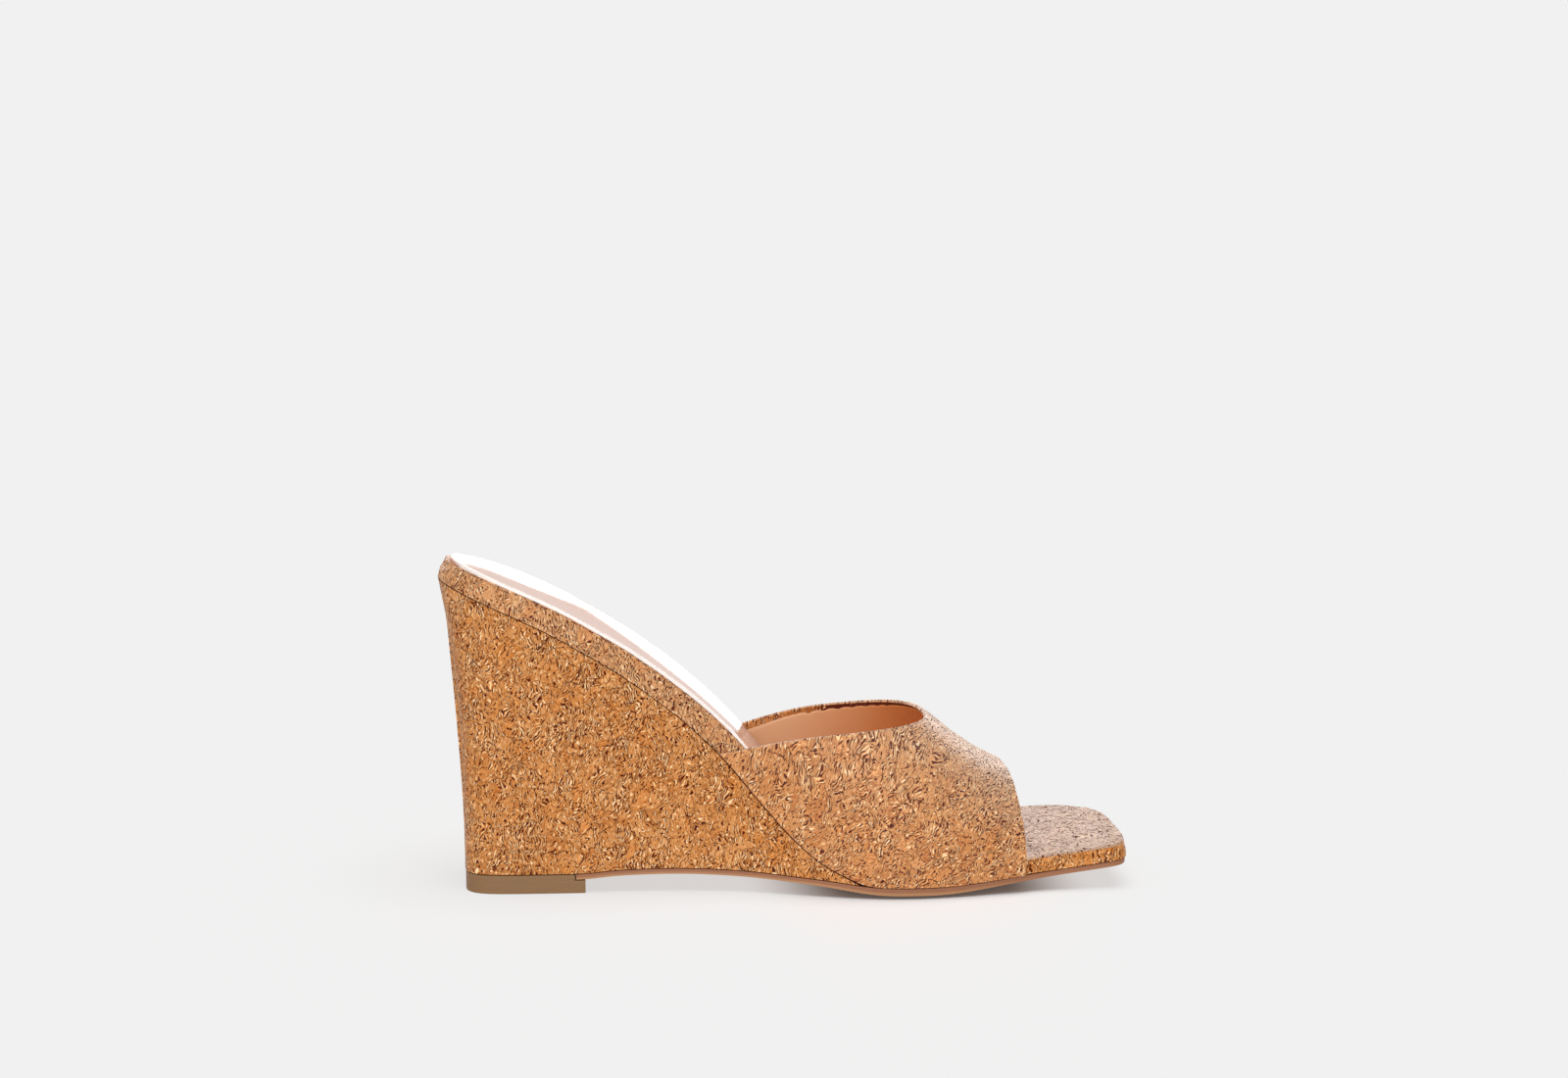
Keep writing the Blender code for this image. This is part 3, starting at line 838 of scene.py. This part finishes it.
def make_world():
    """Even white surroundings, dimmer as a light than as a backdrop."""
    world = bpy.data.worlds.new("studio")
    world.use_nodes = True
    tree = world.node_tree
    backdrop = tree.nodes["Background"]
    light = tree.nodes.new("ShaderNodeBackground")
    ray = tree.nodes.new("ShaderNodeLightPath")
    either = tree.nodes.new("ShaderNodeMixShader")
    for node, strength in ((backdrop, BACKDROP), (light, AROUND)):
        node.inputs["Color"].default_value = (1, 1, 1, 1)
        node.inputs["Strength"].default_value = strength
    tree.links.new(ray.outputs["Is Diffuse Ray"], either.inputs[0])
    tree.links.new(backdrop.outputs[0], either.inputs[1])
    tree.links.new(light.outputs[0], either.inputs[2])
    tree.links.new(either.outputs[0], tree.nodes["World Output"].inputs["Surface"])
    bpy.context.scene.world = world


def make_camera():
    """Camera at the picture's angle, aimed above the shoe so that the shoe stands low in the frame."""
    azimuth = math.radians(CAMERA_AZIMUTH)
    elevation = math.radians(CAMERA_ELEVATION)
    back = Vector((math.sin(azimuth) * math.cos(elevation), -math.cos(azimuth) * math.cos(elevation),
                   math.sin(elevation)))
    lift = math.atan((AIM_ROW - PICTURE_HEIGHT / 2) / FOCAL_PIXELS)
    data = bpy.data.cameras.new("camera")
    data.sensor_width = SENSOR_WIDTH
    data.lens = SENSOR_WIDTH * FOCAL_PIXELS / PICTURE_WIDTH
    camera = bpy.data.objects.new("camera", data)
    bpy.context.collection.objects.link(camera)
    camera.location = AIM_POINT + back * CAMERA_DISTANCE
    camera.rotation_euler = (math.pi / 2 - elevation + lift, 0, azimuth)
    bpy.context.scene.camera = camera


make_camera()
make_world()
make_floor()
make_sun("floor_light", FLOOR_LIGHT, FLOOR_LIGHT_TILT, studio)
make_sun("top_light", TOP_LIGHT, TOP_LIGHT_TILT, shoe)
make_light("back_panel", BACK_PANEL_PLACE, AIM_POINT, 0, BACK_PANEL_SIZE, BACK_PANEL_RADIANCE, shoe)
make_light("front_box", FRONT_BOX_PLACE, AIM_POINT, 0, FRONT_BOX_SIZE, FRONT_BOX_RADIANCE, shoe)
make_light("insole_strip", STRIP_PLACE, STRIP_AIM, STRIP_ROLL, STRIP_SIZE, STRIP_RADIANCE, gloss_pieces)
bpy.context.scene.view_settings.view_transform = "Standard"

dress(make_solid("wedge_heel", "wedge_cork", CORK_FOLD, WEDGE_SMOOTH),
      cork("wedge_cork", heel_wrap, WEDGE_LEAN, WEDGE_GLOSS, wedge_shade), "wedge_cork", "wedge_heel")
dress(make_solid("footbed", "footbed_cork", CORK_FOLD, SMOOTH),
      cork("footbed_cork", board_wrap, BOARD_LEAN, BOARD_GLOSS, board_shade), "footbed_cork", "footbed")
dress(make_vamp(),
      cork("vamp_cork", vamp_wrap, VAMP_LEAN, VAMP_GLOSS, vamp_shade), "vamp_cork", "upper_vamp")
dress(make_lining(), lining_leather("lining_leather"), "vamp_cork")
insole = make_solid("insole_sock", "insole_leather", SOLE_EDGE, SMOOTH)
apply_modifier(insole, "DISPLACE", strength=INSOLE_SWELL, mid_level=0)
insole.data.transform(Matrix.Translation((0, 0, -INSOLE_SWELL)))
gloss_pieces.objects.link(insole)
dress(insole, insole_leather("insole_leather"), "insole_leather", "insole_sock")
dress(make_outsole(), outsole_rubber("outsole_rubber"), "outsole", "outsole")
dress(make_solid("heel_top_lift", "heel_lift_rubber", RUBBER_EDGE, SMOOTH),
      lift_rubber("lift_rubber"), "heel_lift", "heel_top_lift")
